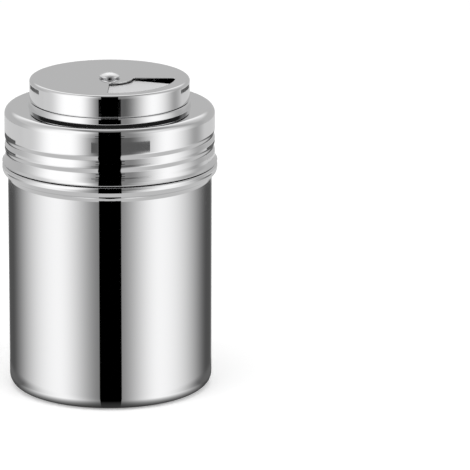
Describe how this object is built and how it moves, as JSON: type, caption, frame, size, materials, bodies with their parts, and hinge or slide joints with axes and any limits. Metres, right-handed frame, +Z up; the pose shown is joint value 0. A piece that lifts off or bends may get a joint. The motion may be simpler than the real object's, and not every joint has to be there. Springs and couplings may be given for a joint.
{
  "type": "spice shaker dispenser",
  "caption": "Stainless steel spice shaker: a drawn jar, a screw lid with a raised sifter deck, and a riveted selector cap whose window turns over the pouring opening and the sifter holes.",
  "frame": {"origin": "centre of the base, on the surface that the shaker stands on", "axes": "+Z up along the shaker's axis, -Y towards the front, where the cap's window starts at rest, +X to the right of the front"},
  "size_m": [0.074, 0.074, 0.1107],
  "materials": {
    "jar_steel": "polished",
    "lid_steel": "polished",
    "cap_steel": "satin",
    "rivet_steel": "polished",
    "spring_steel": "satin",
    "seal_rubber": "matte"
  },
  "bodies": {
    "jar": {"jar_body": "jar_steel"},
    "seal": {"mouth_seal": "seal_rubber"},
    "lid": {"lid_shell": "lid_steel", "pivot_rivet": "rivet_steel", "head_washer": "spring_steel", "spring_washer": "spring_steel", "tail_washer": "spring_steel"},
    "selector": {"selector_cap": "cap_steel"}
  },
  "joints": [
    {"name": "lid_lift", "type": "slide", "parent": "jar", "child": "seal", "axis": [0, 0, 1], "range_m": [0, 0.00726]},
    {"name": "lid_turn", "type": "hinge", "parent": "seal", "child": "lid", "pos_m": [0, 0, 0.09], "axis": [0, 0, 1], "range_deg": [0, 600]},
    {"name": "selector_turn", "type": "hinge", "parent": "lid", "child": "selector", "pos_m": [0, 0, 0.1085], "axis": [0, 0, 1], "continuous": true}
  ],
  "couplings": [
    {"joint": "lid_lift", "follows": "lid_turn", "m_per_rad": 0.00069232}
  ]
}
